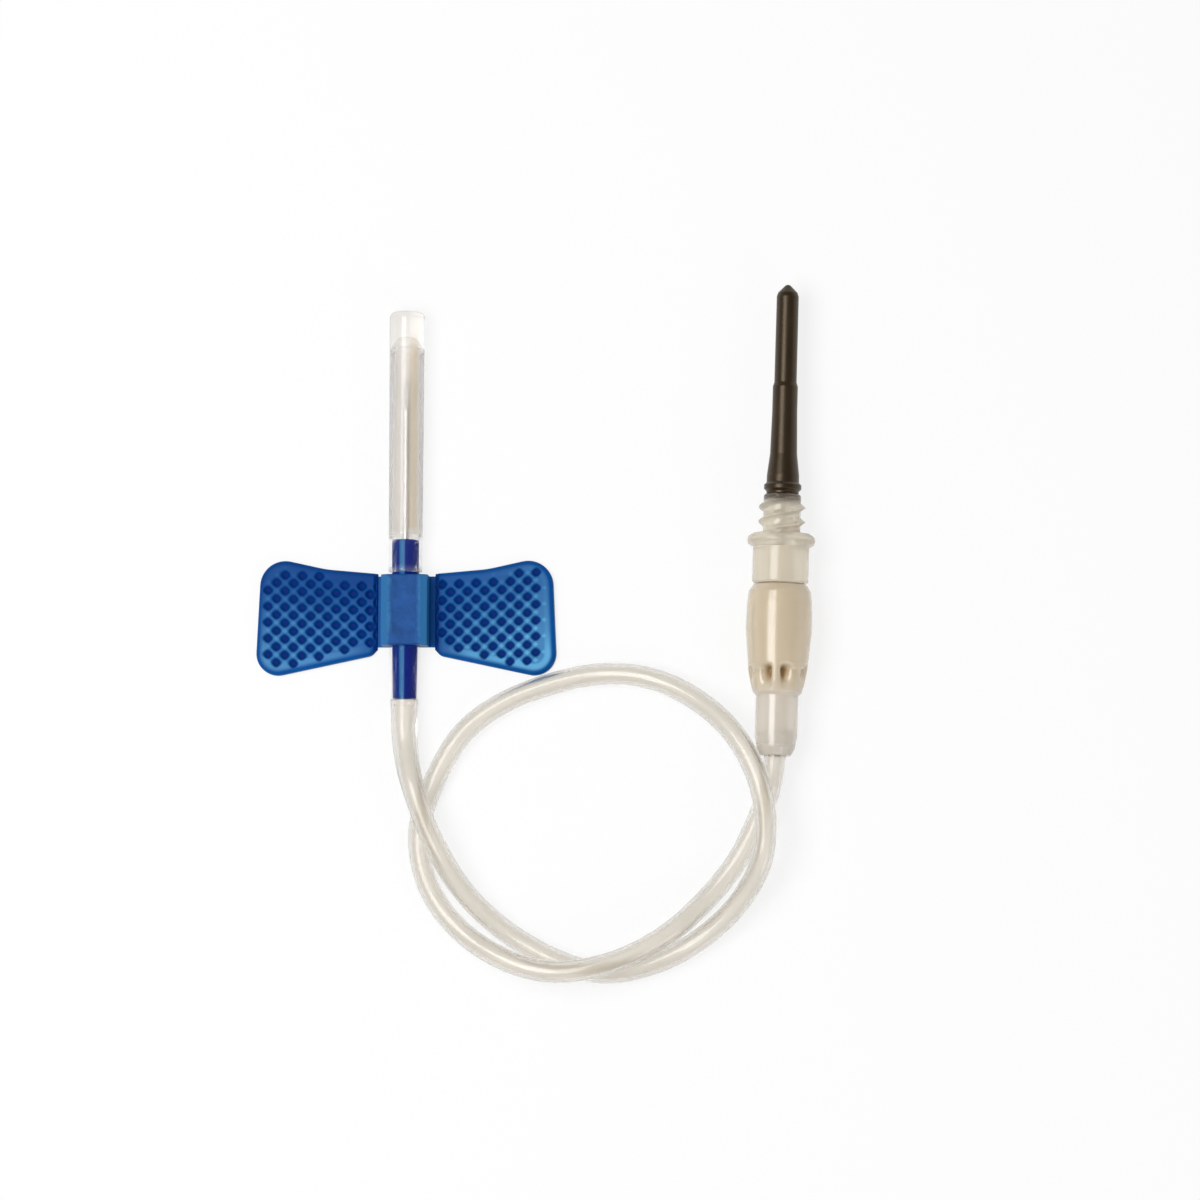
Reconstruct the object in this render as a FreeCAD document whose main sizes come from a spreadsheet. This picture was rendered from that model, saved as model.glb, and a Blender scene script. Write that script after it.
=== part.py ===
import FreeCAD, Part
import Sketcher
import math
import os

# Butterfly needle: a winged blood-collection set, lying flat.
# Millimetres, +Z up. The origin is on the flat underside of the wings' saddle, under the needle's axis.
# +Y points along the needle towards its tip, and +X towards the luer connector at the tube's far end.
# Pieces round the needle's axis are turned about their own Y axis, and so are those on the luer's axis.

os.makedirs("parts", exist_ok=True)
doc = FreeCAD.newDocument("butterfly_needle")
Vector = FreeCAD.Vector

# Driving sizes, each written once
SIZES = {
    # Needle and its sheath: 21 gauge, 19 mm free length
    "needle_od": 0.82, "needle_bore": 0.55, "needle_reach": 19.0, "needle_grip": 7.5,
    "bevel_angle": 13.0,
    "sheath_od_open": 4.0, "sheath_od_closed": 4.16, "sheath_tip_gap": 4.7, "sheath_solid": 3.4,
    "sheath_round": 0.6, "sheath_fit": 0.04, "sheath_gap": 0.3, "sheath_draft": 0.13, "sheath_dome": 0.66,
    "gate_radius": 0.4, "gate_height": 0.15,
    # Hub tube through the saddle
    "hub_height": 2.1, "hub_od": 3.2, "nose_front": 8.1, "nose_chamfer": 0.2,
    "spigot_end": 10.9, "spigot_root_od": 3.04, "spigot_tip_od": 2.8, "spigot_chamfer": 0.3, "flow_bore": 1.2,
    # Saddle and the thin web on each side of it
    "saddle_front": 3.9, "saddle_rear": 4.5, "saddle_width": 5.44, "saddle_top": 4.2,
    "panel_width": 3.9, "shoulder_drop": 0.5, "saddle_round": 0.25,
    "hinge_x": 3.45, "web_thickness": 0.45, "hinge_fit": 0.05,
    # Wings: outline corners from the root outwards, then back
    "wing_thickness": 1.1, "root_front": 4.2, "root_rear": 4.8,
    "front_bend_x": 9.6, "front_bend_y": 4.75, "front_bend_radius": 14.0,
    "tip_front_x": 17.25, "tip_front_y": 6.45, "tip_front_radius": 3.0,
    "tip_rear_x": 17.98, "tip_rear_y": 8.5, "tip_rear_radius": 2.6,
    "rear_bend_x": 4.1, "rear_bend_y": 5.55, "rear_bend_radius": 1.2, "rim_round": 0.35,
    # Raised lattice on the wings
    "field_start": 3.95, "field_margin": 1.15, "field_depth": 0.4, "rib_width": 0.42,
    "cell_x": 14.4, "cell_y": 1.45, "row_step": 2.03, "row_rise": 0.09, "column_step": 1.9,
    # Soft tubing
    "tube_od": 2.6, "tube_bore": 1.7, "flare_wall": 0.33, "flare_thinning": 0.05, "flare_run": 2.6,
    # Luer axis: centre of the flange's front face, and the turn of the axis from +Y towards +X
    "luer_x": 44.67, "luer_y": 8.57, "luer_turn": 1.25,
    # Holder adapter, measured along the luer's axis from the flange's front face
    "boss_od": 4.4, "boss_length": 4.66, "boss_chamfer": 0.3,
    "thread_height": 0.55, "thread_sink": 0.1, "thread_lead": 3.42, "thread_start": 0.62,
    "thread_turns": 0.72, "thread_base": 1.3, "thread_crest": 0.35,
    "seat_clearance": 0.1, "seat_relief": 0.1, "seat_width": 0.37, "flange_rim": 0.81,
    "flange_thickness": 1.62, "body_step": 0.1, "body_length": 4.3, "body_chamfer": 0.35,
    "nipple_od": 2.5, "nipple_length": 3.5, "cone_length": 8.0, "cone_tip_od": 3.95, "luer_taper": 0.06,
    "luer_bore": 2.1, "luer_bore_end": 1.2,
    # Rear needle: 20 gauge
    "holder_needle_od": 0.9, "holder_needle_bore": 0.6, "holder_needle_top": 26.2, "holder_bevel_angle": 15.0,
    # Rubber sleeve, from its foot on the boss to its tip
    "sleeve_tip_gap": 1.7, "sleeve_roof": 1.6, "sleeve_tip": 1.2, "sleeve_point_od": 0.4,
    "sleeve_od": 2.6, "sleeve_bore": 1.6, "sleeve_mid_od": 2.96, "sleeve_mid_start": 14.4,
    "sleeve_mid_end": 17.4, "sleeve_step": 0.8, "sleeve_foot_od": 3.8, "sleeve_foot_top": 6.9,
    "sleeve_neck": 9.4, "sleeve_neck_od": 3.2, "bead_od": 4.5, "bead_centre": 5.5, "bead_width": 1.1,
    # Female luer: mouth, belly, ribbed cone and tube socket
    "luer_seam": 0.12, "luer_fit": 0.03, "mouth_od": 6.3, "shoulder_od": 7.56, "shoulder_depth": 1.1,
    "belly_od": 7.84, "belly_depth": 4.6, "waist_od": 6.98, "waist_depth": 10.0, "cone_end_od": 5.84,
    "cone_end_depth": 12.6, "cavity_depth": 9.0, "neck_bore": 1.6, "rib_thickness": 1.1, "rib_core_od": 4.2,
    "window_start": 9.6, "window_end": 12.5, "cone_foot": 0.3, "socket_od": 5.0, "socket_end": 20.2,
    "socket_lip": 3.9,
    "socket_round": 1.5, "socket_depth": 3.0,
}

# How far an arc stands off its chord, as a share of the chord
QUARTER = (math.sqrt(2) - 1) / 2
SHALLOW = 0.1
# Room round a bevel's cut, as a share of the needle's diameter
BEVEL_ROOM = 0.1

# Route of the tubing's centre line from the hub's spigot to just short of the luer's socket, in mm.
# It hangs over itself at the left crossing, goes under at the bottom, over at the right, round, then
# under at the left, over at the bottom and under at the right.
ROUTE = [
    (0.0, -16.0, 2.1), (1.2, -21.6, 4.4), (4.0, -28.7, 4.4), (7.4, -34.1, 2.9), (12.0, -38.3, 1.4),
    (17.5, -41.5, 1.3), (23.4, -43.4, 1.3), (29.6, -42.2, 1.3), (34.9, -39.5, 1.4), (39.8, -35.3, 3.0),
    (43.3, -29.5, 5.9), (43.0, -21.9, 6.3), (39.7, -15.2, 5.1), (34.7, -10.7, 2.9), (29.0, -8.0, 1.5),
    (22.7, -7.6, 1.3), (16.6, -9.05, 1.3), (11.2, -11.2, 1.3), (6.6, -14.6, 1.3), (3.6, -20.0, 1.3),
    (1.4, -26.2, 1.3), (2.5, -32.8, 1.3), (6.4, -38.2, 1.6), (12.3, -42.0, 3.3), (18.3, -43.5, 4.4),
    (25.3, -42.2, 4.4), (31.2, -39.0, 3.0), (35.8, -34.6, 1.5), (39.6, -29.9, 1.3), (42.0, -24.9, 2.1),
]
# The last point before the socket, straight behind it, and how much of a run its arc takes up
SOCKET_EXIT = 2.5
ARC_SHARE = 0.45


# Sizes that carry both their number and the sheet expression that gives it
class Size:
    def __init__(self, number, text):
        self.number = number
        self.text = text

    def join(self, other, sign, number):
        return Size(number, "(%s %s %s)" % (self.text, sign, other.text))

    def __add__(self, other):
        other = as_size(other)
        return self.join(other, "+", self.number + other.number)

    def __sub__(self, other):
        other = as_size(other)
        return self.join(other, "-", self.number - other.number)

    def __mul__(self, other):
        other = as_size(other)
        return self.join(other, "*", self.number * other.number)

    def __truediv__(self, other):
        other = as_size(other)
        return self.join(other, "/", self.number / other.number)

    def __neg__(self):
        return Size(-self.number, "(-%s)" % self.text)


def as_size(value):
    return value if isinstance(value, Size) else Size(float(value), repr(float(value)))


sheet = doc.addObject("Spreadsheet::Sheet", "sizes")
for row, (alias, number) in enumerate(SIZES.items(), start=1):
    sheet.set("A%d" % row, alias)
    sheet.set("B%d" % row, repr(number))
    sheet.setAlias("B%d" % row, alias)
doc.recompute()


def size(alias):
    return Size(float(sheet.get(alias)), "sizes.%s" % alias)


def bind(thing, name, value):
    thing.setExpression(name, as_size(value).text)


# Sketches and bodies
def origin_part(body, role):
    return [part for part in body.Origin.OriginFeatures if part.Role == role][0]


def place_vertex(sketch, geometry, end, corner):
    """Hold one end of a piece of geometry at a corner given by two sizes."""
    for kind, value in zip(("DistanceX", "DistanceY"), corner):
        value = as_size(value)
        index = sketch.addConstraint(
            Sketcher.Constraint(kind, -1, 1, geometry, end, value.number))
        sketch.setExpression("Constraints[%d]" % index, value.text)


def point(corner):
    return Vector(as_size(corner[0]).number, as_size(corner[1]).number, 0)


def arc_through(start, via, stop):
    """Arc by three points, always turning to the left, and whether that is from start to stop."""
    arc = Part.Arc(start, via, stop).toShape().Curve
    forwards = (via - start).cross(stop - via).z > 0
    first, last = (start, stop) if forwards else (stop, start)
    from_centre, to_centre = first - arc.Center, last - arc.Center
    begin = math.atan2(from_centre.y, from_centre.x)
    finish = math.atan2(to_centre.y, to_centre.x)
    if finish <= begin:
        finish += 2 * math.pi
    circle = Part.Circle(arc.Center, Vector(0, 0, 1), arc.Radius)
    return Part.ArcOfCircle(circle, begin, finish), forwards


def arc_corner(start, stop, bulge):
    """Corner that an arc reaches from the start, standing off the chord to its right by a share of it."""
    via = [(first + last) / 2 for first, last in zip(map(as_size, start), map(as_size, stop))]
    via[0] = via[0] + (as_size(stop[1]) - start[1]) * bulge
    via[1] = via[1] + (as_size(start[0]) - stop[0]) * bulge
    return (stop[0], stop[1], via[0], via[1])


def draw_outline(sketch, corners):
    """Close an outline through its corners; a corner with four sizes ends an arc by way of a point."""
    count = len(corners)
    ends = []
    for index, corner in enumerate(corners):
        start = point(corners[index - 1][:2])
        stop = point(corner[:2])
        if len(corner) == 4:
            via = point(corner[2:])
            arc, forwards = arc_through(start, via, stop)
            edge = sketch.addGeometry(arc)
            ends.append((edge, (1, 2) if forwards else (2, 1)))
            mark = sketch.addGeometry(Part.Point(via), True)
            place_vertex(sketch, mark, 1, corner[2:])
            sketch.addConstraint(Sketcher.Constraint("PointOnObject", mark, 1, edge))
        else:
            edge = sketch.addGeometry(Part.LineSegment(start, stop))
            ends.append((edge, (1, 2)))
    for index, corner in enumerate(corners):
        edge, order = ends[index]
        follower, follower_order = ends[(index + 1) % count]
        sketch.addConstraint(Sketcher.Constraint("Coincident", edge, order[1], follower, follower_order[0]))
        place_vertex(sketch, edge, order[1], corner[:2])


def body_sketch(body, name, role, corners):
    sketch = body.newObject("Sketcher::SketchObject", name)
    sketch.AttachmentSupport = [(origin_part(body, role), "")]
    sketch.MapMode = "FlatFace"
    draw_outline(sketch, corners)
    doc.recompute()
    return sketch


def turned_body(label, corners):
    """Turn a closed half section, given as (place along, distance from the axis), about the Y axis."""
    body = doc.addObject("PartDesign::Body", label)
    sketch = body_sketch(body, label + "_section", "YZ_Plane", corners)
    turning = body.newObject("PartDesign::Revolution", label + "_turning")
    turning.Profile = sketch
    turning.ReferenceAxis = (sketch, ["H_Axis"])
    turning.Angle = 360
    sketch.Visibility = False
    doc.recompute()
    return body


def on_hub_axis(body):
    bind(body, "Placement.Base.z", size("hub_height"))


def on_luer_axis(body):
    body.Placement.Rotation = FreeCAD.Rotation(Vector(0, 0, -1), size("luer_turn").number)
    bind(body, "Placement.Base.x", size("luer_x"))
    bind(body, "Placement.Base.y", size("luer_y"))
    bind(body, "Placement.Base.z", flange_radius())


def cut_bevel(body, tip, diameter, angle):
    """Slope the tip of a needle: the cut starts at the tip's lower side and leaves at the upper side."""
    slope = Size(1 / math.tan(math.radians(angle.number)), "(1 / tan(%s * 1 deg))" % angle.text)
    length = diameter * slope
    margin = diameter * BEVEL_ROOM
    radius = diameter / 2
    corners = [
        (tip + margin * slope, -radius - margin),
        (tip + margin * slope, radius + margin),
        (tip - length - margin * slope, radius + margin),
        (tip, -radius),
    ]
    sketch = body_sketch(body, body.Label + "_bevel_outline", "YZ_Plane", corners)
    pocket = body.newObject("PartDesign::Pocket", body.Label + "_bevel")
    pocket.Profile = sketch
    pocket.Midplane = True
    bind(pocket, "Length", diameter * 2)
    sketch.Visibility = False
    doc.recompute()


def boolean(kind, label, base, tools):
    """Join or cut Part shapes into a new object of the document."""
    result = doc.addObject(kind, label)
    if kind == "Part::Cut":
        result.Base = base
        result.Tool = tools[0]
    else:
        result.Shapes = [base] + tools
    doc.recompute()
    return result


def upright_edges(shape, corners):
    """Numbers of the upright edges that stand at the given corners."""
    found = []
    for x, y in corners:
        for number, edge in enumerate(shape.Edges, start=1):
            first, last = edge.Vertexes[0].Point, edge.Vertexes[-1].Point
            upright = abs(first.x - last.x) < 1e-6 and abs(first.y - last.y) < 1e-6
            if upright and abs(first.x - x) < 1e-4 and abs(first.y - y) < 1e-4:
                found.append(number)
    return found


# Hub: one tube with a nose in front, the needle's seat inside and the spigot behind
def make_hub():
    front = size("nose_front")
    rear = -size("spigot_end")
    hub_radius = size("hub_od") / 2
    needle_radius = size("needle_od") / 2
    seat_end = front - size("needle_grip")
    flow_radius = size("flow_bore") / 2
    chamfer = size("nose_chamfer")
    lead = size("spigot_chamfer")
    hub = turned_body("wing_hub", [
        (front, needle_radius),
        (front, hub_radius - chamfer),
        (front - chamfer, hub_radius),
        (-size("saddle_rear"), hub_radius),
        (-size("saddle_rear"), size("spigot_root_od") / 2),
        (rear + lead, size("spigot_tip_od") / 2),
        (rear, size("spigot_tip_od") / 2 - lead),
        (rear, flow_radius),
        (seat_end, flow_radius),
        (seat_end, needle_radius),
    ])
    on_hub_axis(hub)
    return hub


def make_needle():
    front = size("nose_front")
    tip = front + size("needle_reach")
    outer = size("needle_od") / 2
    inner = size("needle_bore") / 2
    seat_end = front - size("needle_grip")
    needle = turned_body("needle_cannula", [
        (seat_end, inner), (tip, inner), (tip, outer), (seat_end, outer),
    ])
    cut_bevel(needle, tip, size("needle_od"), size("bevel_angle"))
    on_hub_axis(needle)
    return needle


def make_sheath():
    mouth = size("saddle_front") + size("sheath_gap")
    cavity_end = size("nose_front") + size("needle_reach") + size("sheath_tip_gap")
    end = cavity_end + size("sheath_solid")
    bore = size("hub_od") / 2 + size("sheath_fit")
    closed_radius = size("sheath_od_closed") / 2
    rounding = size("sheath_round")
    cavity_radius = bore - size("sheath_draft")
    gate = size("gate_radius")
    sheath = turned_body("needle_sheath", [
        (mouth, bore),
        (mouth, size("sheath_od_open") / 2),
        (end - rounding, closed_radius),
        arc_corner((end - rounding, closed_radius), (end, closed_radius - rounding), -QUARTER),
        (end, gate),
        (end + size("gate_height"), gate),
        (end + size("gate_height"), 0),
        (cavity_end + size("sheath_dome"), 0),
        arc_corner((cavity_end + size("sheath_dome"), 0), (cavity_end, cavity_radius), SHALLOW),
    ])
    on_hub_axis(sheath)
    return sheath


# Saddle: flat-topped block round the hub, with a thin web at the foot of each side
def make_saddle():
    body = doc.addObject("PartDesign::Body", "wing_saddle")
    side = size("saddle_width") / 2
    panel = size("panel_width") / 2
    top = size("saddle_top")
    web_top = size("web_thickness")
    web_end = size("hinge_x") - size("hinge_fit")
    shoulder = top - size("shoulder_drop")
    corners = [
        (web_end, 0), (web_end, web_top), (side, web_top), (side, shoulder), (panel, top),
        (-panel, top), (-side, shoulder), (-side, web_top), (-web_end, web_top), (-web_end, 0),
    ]
    sketch = body_sketch(body, "saddle_section", "XZ_Plane", corners)
    bind(sketch, "AttachmentOffset.Base.z", -size("saddle_front"))
    block = body.newObject("PartDesign::Pad", "saddle_block")
    block.Profile = sketch
    bind(block, "Length", size("saddle_front") + size("saddle_rear"))
    sketch.Visibility = False
    doc.recompute()
    bore_sketch = body.newObject("Sketcher::SketchObject", "saddle_bore_outline")
    bore_sketch.AttachmentSupport = [(origin_part(body, "XZ_Plane"), "")]
    bore_sketch.MapMode = "FlatFace"
    bore_sketch.addGeometry(Part.Circle(Vector(0, size("hub_height").number, 0), Vector(0, 0, 1),
                                        size("hub_od").number / 2))
    place_vertex(bore_sketch, 0, 3, (0, size("hub_height")))
    diameter = bore_sketch.addConstraint(Sketcher.Constraint("Diameter", 0, size("hub_od").number))
    bore_sketch.setExpression("Constraints[%d]" % diameter, size("hub_od").text)
    bore = body.newObject("PartDesign::Pocket", "saddle_bore")
    bore.Profile = bore_sketch
    bore.Midplane = True
    bind(bore, "Length", (size("saddle_front") + size("saddle_rear")) * 2)
    bore_sketch.Visibility = False
    doc.recompute()
    level_top = size("saddle_top").number
    rims = []
    for number, edge in enumerate(bore.Shape.Edges, start=1):
        heights = [vertex.Point.z for vertex in edge.Vertexes]
        across = abs(edge.Vertexes[0].Point.y - edge.Vertexes[-1].Point.y) < 1e-6
        if across and min(heights) > level_top - size("shoulder_drop").number - 1e-6:
            rims.append("Edge%d" % number)
    rounding = body.newObject("PartDesign::Fillet", "saddle_rim")
    rounding.Base = (bore, rims)
    bind(rounding, "Radius", size("saddle_round"))
    doc.recompute()
    return body


# Wing: a filleted plate with a sunk field crossed by two families of ribs.
# It turns about its root edge, level with the top of the saddle's web.
def wing_corners(root_x):
    return [
        (root_x, -size("root_rear")),
        (root_x, size("root_front")),
        (size("front_bend_x"), size("front_bend_y")),
        (size("tip_front_x"), size("tip_front_y")),
        (size("tip_rear_x"), -size("tip_rear_y")),
        (size("rear_bend_x"), -size("rear_bend_y")),
    ]


def upright_plate(label, outline, bottom, height):
    plate = doc.addObject("Part::Extrusion", label)
    plate.Base = outline
    plate.DirMode = "Custom"
    plate.Dir = Vector(0, 0, 1)
    plate.Solid = True
    bind(plate, "LengthFwd", height)
    bind(plate, "Placement.Base.z", bottom)
    doc.recompute()
    return plate


def round_corners(label, plate, radii):
    """Round upright edges: each entry is (corner x, corner y, radius)."""
    rounded = doc.addObject("Part::Fillet", label)
    rounded.Base = plate
    edges = []
    for x, y, radius in radii:
        for number in upright_edges(plate.Shape, [(x, y)]):
            edges.append((number, radius, radius))
    rounded.Edges = edges
    doc.recompute()
    return rounded


def make_right_wing():
    hinge_x = size("hinge_x")
    thickness = size("wing_thickness")
    margin = size("field_margin")
    corner_radii = [size("front_bend_radius"), size("tip_front_radius"), size("tip_rear_radius"),
                    size("rear_bend_radius")]

    outline = doc.addObject("Sketcher::SketchObject", "wing_outline")
    draw_outline(outline, wing_corners(hinge_x))
    blank = upright_plate("wing_blank", outline, 0, thickness)
    bends = [point(corner) for corner in wing_corners(hinge_x)[2:]]
    plate = round_corners("wing_plate", blank,
                          [(bend.x, bend.y, radius.number) for bend, radius in zip(bends, corner_radii)])
    rim = doc.addObject("Part::Fillet", "wing_rim")
    rim.Base = plate
    rim_radius = size("rim_round").number
    rim_edges = []
    for number, edge in enumerate(plate.Shape.Edges, start=1):
        level = all(abs(vertex.Point.z - thickness.number) < 1e-6 for vertex in edge.Vertexes)
        at_root = all(abs(vertex.Point.x - hinge_x.number) < 1e-6 for vertex in edge.Vertexes)
        if level and not at_root:
            rim_edges.append((number, rim_radius, rim_radius))
    rim.Edges = rim_edges
    doc.recompute()

    # The field's outline is the wing's own, moved in by the margin, and open towards the root
    field_root = size("field_start") - margin
    long_outline = doc.addObject("Sketcher::SketchObject", "field_source")
    draw_outline(long_outline, wing_corners(field_root))
    inset = doc.addObject("Part::Offset2D", "field_outline")
    inset.Source = long_outline
    inset.Join = "Intersection"
    bind(inset, "Value", -margin)
    doc.recompute()
    field_bottom = thickness - size("field_depth")
    field_blank = upright_plate("field_blank", inset, field_bottom, size("field_depth") * 2)
    inner_corners = sorted(((vertex.Point.x, vertex.Point.y) for vertex in inset.Shape.Vertexes),
                           key=lambda spot: -spot[0])
    tips = [spot for spot in inner_corners if spot[0] > size("front_bend_x").number + margin.number]
    tip_radii = [(x, y, (corner_radii[1] if y > 0 else corner_radii[2]).number - margin.number)
                 for x, y in tips]
    field = round_corners("wing_field", field_blank, tip_radii)

    # Ribs run halfway between rows of cells, along both diagonals of the cell grid
    half_x = size("row_step") / 2
    half_rise = size("row_rise") / 2
    half_y = size("column_step") / 2
    diagonals = [(half_x, half_rise + half_y), (half_x, half_rise - half_y)]
    reach = size("tip_rear_x") * 2
    ribs = []
    for family, (run, rise) in enumerate(diagonals):
        step_x, step_y = diagonals[1 - family]
        angle = Size(math.degrees(math.atan2(rise.number, run.number)),
                     "atan2(%s; %s)" % (rise.text, run.text))
        steps = int(reach.number / (2 * math.hypot(step_x.number, step_y.number))) + 1
        for count in range(-steps, steps):
            share = count + 0.5
            cosine = math.cos(math.radians(angle.number))
            sine = math.sin(math.radians(angle.number))
            rib = doc.addObject("Part::Box", "rib_%d_%d" % (family, count + steps))
            bind(rib, "Length", reach)
            bind(rib, "Width", size("rib_width"))
            bind(rib, "Height", size("field_depth") * 3)
            rib.Placement.Rotation = FreeCAD.Rotation(Vector(0, 0, 1), angle.number)
            back = reach / 2
            half_width = size("rib_width") / 2
            bind(rib, "Placement.Base.x",
                 size("cell_x") + step_x * share - back * cosine + half_width * sine)
            bind(rib, "Placement.Base.y",
                 size("cell_y") + step_y * share - back * sine - half_width * cosine)
            bind(rib, "Placement.Base.z", field_bottom - size("field_depth"))
            ribs.append(rib)
    doc.recompute()
    reaching = [rib for rib in ribs if rib.Shape.common(field.Shape).Volume > 1e-6]
    grid = boolean("Part::MultiFuse", "wing_ribs", reaching[0], reaching[1:])
    pits = boolean("Part::Cut", "wing_pits", field, [grid])
    return boolean("Part::Cut", "right_wing", rim, [pits])


def make_left_wing(right_wing):
    wing = doc.addObject("Part::Mirroring", "left_wing")
    wing.Source = right_wing
    wing.Base = Vector(0, 0, 0)
    wing.Normal = Vector(1, 0, 0)
    doc.recompute()
    return wing


# Luer end. The flange lies on the table, so its rim sets the height of the axis.
def thread_radius():
    return size("boss_od") / 2 + size("thread_height")


def seat_inner_radius():
    return thread_radius() + size("seat_clearance")


def seat_outer_radius():
    return seat_inner_radius() + size("seat_width")


def flange_radius():
    return seat_outer_radius() + size("flange_rim")


def cone_radius(depth):
    """Radius of the male cone at a distance from its tip."""
    return size("cone_tip_od") / 2 + depth * size("luer_taper") / 2


def make_adapter():
    seam = -(size("flange_thickness") + size("body_length"))
    tip = seam - size("cone_length")
    thickness = size("flange_thickness")
    body_radius = seat_outer_radius() + size("body_step")
    chamfer = size("body_chamfer")
    boss_radius = size("boss_od") / 2
    boss_end = size("boss_length")
    nipple_radius = size("nipple_od") / 2
    nipple_end = boss_end + size("nipple_length")
    needle_radius = size("holder_needle_od") / 2
    seat_end = -size("luer_bore_end")
    adapter = turned_body("luer_adapter", [
        (tip, size("luer_bore") / 2),
        (tip, size("cone_tip_od") / 2),
        (seam, cone_radius(size("cone_length"))),
        (seam, body_radius - chamfer),
        (seam + chamfer, body_radius),
        (-thickness, body_radius),
        (0, seat_outer_radius(), -thickness / 2, flange_radius()),
        (0, seat_inner_radius()),
        (-size("seat_relief"), seat_inner_radius()),
        (-size("seat_relief"), boss_radius),
        (boss_end - size("boss_chamfer"), boss_radius),
        (boss_end, boss_radius - size("boss_chamfer")),
        (boss_end, nipple_radius),
        (nipple_end - chamfer, nipple_radius),
        (nipple_end, nipple_radius - chamfer),
        (nipple_end, needle_radius),
        (seat_end, needle_radius),
        (seat_end, size("luer_bore") / 2),
    ])
    # Two-start thread on the boss
    root = boss_radius - size("thread_sink")
    first = size("thread_start")
    base = size("thread_base")
    crest = size("thread_crest")
    profile = body_sketch(adapter, "thread_section", "YZ_Plane", [
        (first, root),
        (first + base, root),
        (first + base / 2 + crest / 2, thread_radius()),
        (first + base / 2 - crest / 2, thread_radius()),
    ])
    thread = adapter.newObject("PartDesign::AdditiveHelix", "thread")
    thread.Profile = profile
    thread.ReferenceAxis = (origin_part(adapter, "Y_Axis"), [""])
    thread.Mode = "pitch-turns-angle"
    bind(thread, "Pitch", size("thread_lead"))
    bind(thread, "Turns", size("thread_turns"))
    profile.Visibility = False
    doc.recompute()
    starts = adapter.newObject("PartDesign::PolarPattern", "thread_starts")
    starts.Originals = [thread]
    starts.Axis = (origin_part(adapter, "Y_Axis"), [""])
    starts.Angle = 360
    starts.Occurrences = 2
    adapter.Tip = starts
    doc.recompute()
    on_luer_axis(adapter)
    return adapter


def make_holder_needle():
    top = size("holder_needle_top")
    inner = size("holder_needle_bore") / 2
    outer = size("holder_needle_od") / 2
    foot = -size("luer_bore_end")
    needle = turned_body("holder_cannula", [(foot, inner), (top, inner), (top, outer), (foot, outer)])
    cut_bevel(needle, top, size("holder_needle_od"), size("holder_bevel_angle"))
    on_luer_axis(needle)
    return needle


def make_sleeve():
    foot = size("boss_length")
    roof = size("holder_needle_top") + size("sleeve_tip_gap")
    top = roof + size("sleeve_roof")
    radius = size("sleeve_od") / 2
    middle_radius = size("sleeve_mid_od") / 2
    foot_radius = size("sleeve_foot_od") / 2
    bead = size("bead_width") / 2
    centre = size("bead_centre")
    nipple_end = foot + size("nipple_length")
    sleeve = turned_body("rubber_sleeve", [
        (foot, size("nipple_od") / 2),
        (foot, foot_radius),
        (centre - bead, foot_radius),
        (centre + bead, foot_radius, centre, size("bead_od") / 2),
        (size("sleeve_foot_top"), foot_radius),
        (size("sleeve_neck"), size("sleeve_neck_od") / 2),
        (size("sleeve_mid_start"), middle_radius),
        (size("sleeve_mid_end"), middle_radius),
        (size("sleeve_mid_end") + size("sleeve_step"), radius),
        (top - size("sleeve_tip"), radius),
        arc_corner((top - size("sleeve_tip"), radius), (top, size("sleeve_point_od") / 2), -SHALLOW),
        (top, 0),
        (roof, 0),
        (roof - size("sleeve_bore") / 2, size("sleeve_bore") / 2),
        (nipple_end, size("sleeve_bore") / 2),
        (nipple_end, size("nipple_od") / 2),
    ])
    on_luer_axis(sleeve)
    return sleeve


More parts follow.
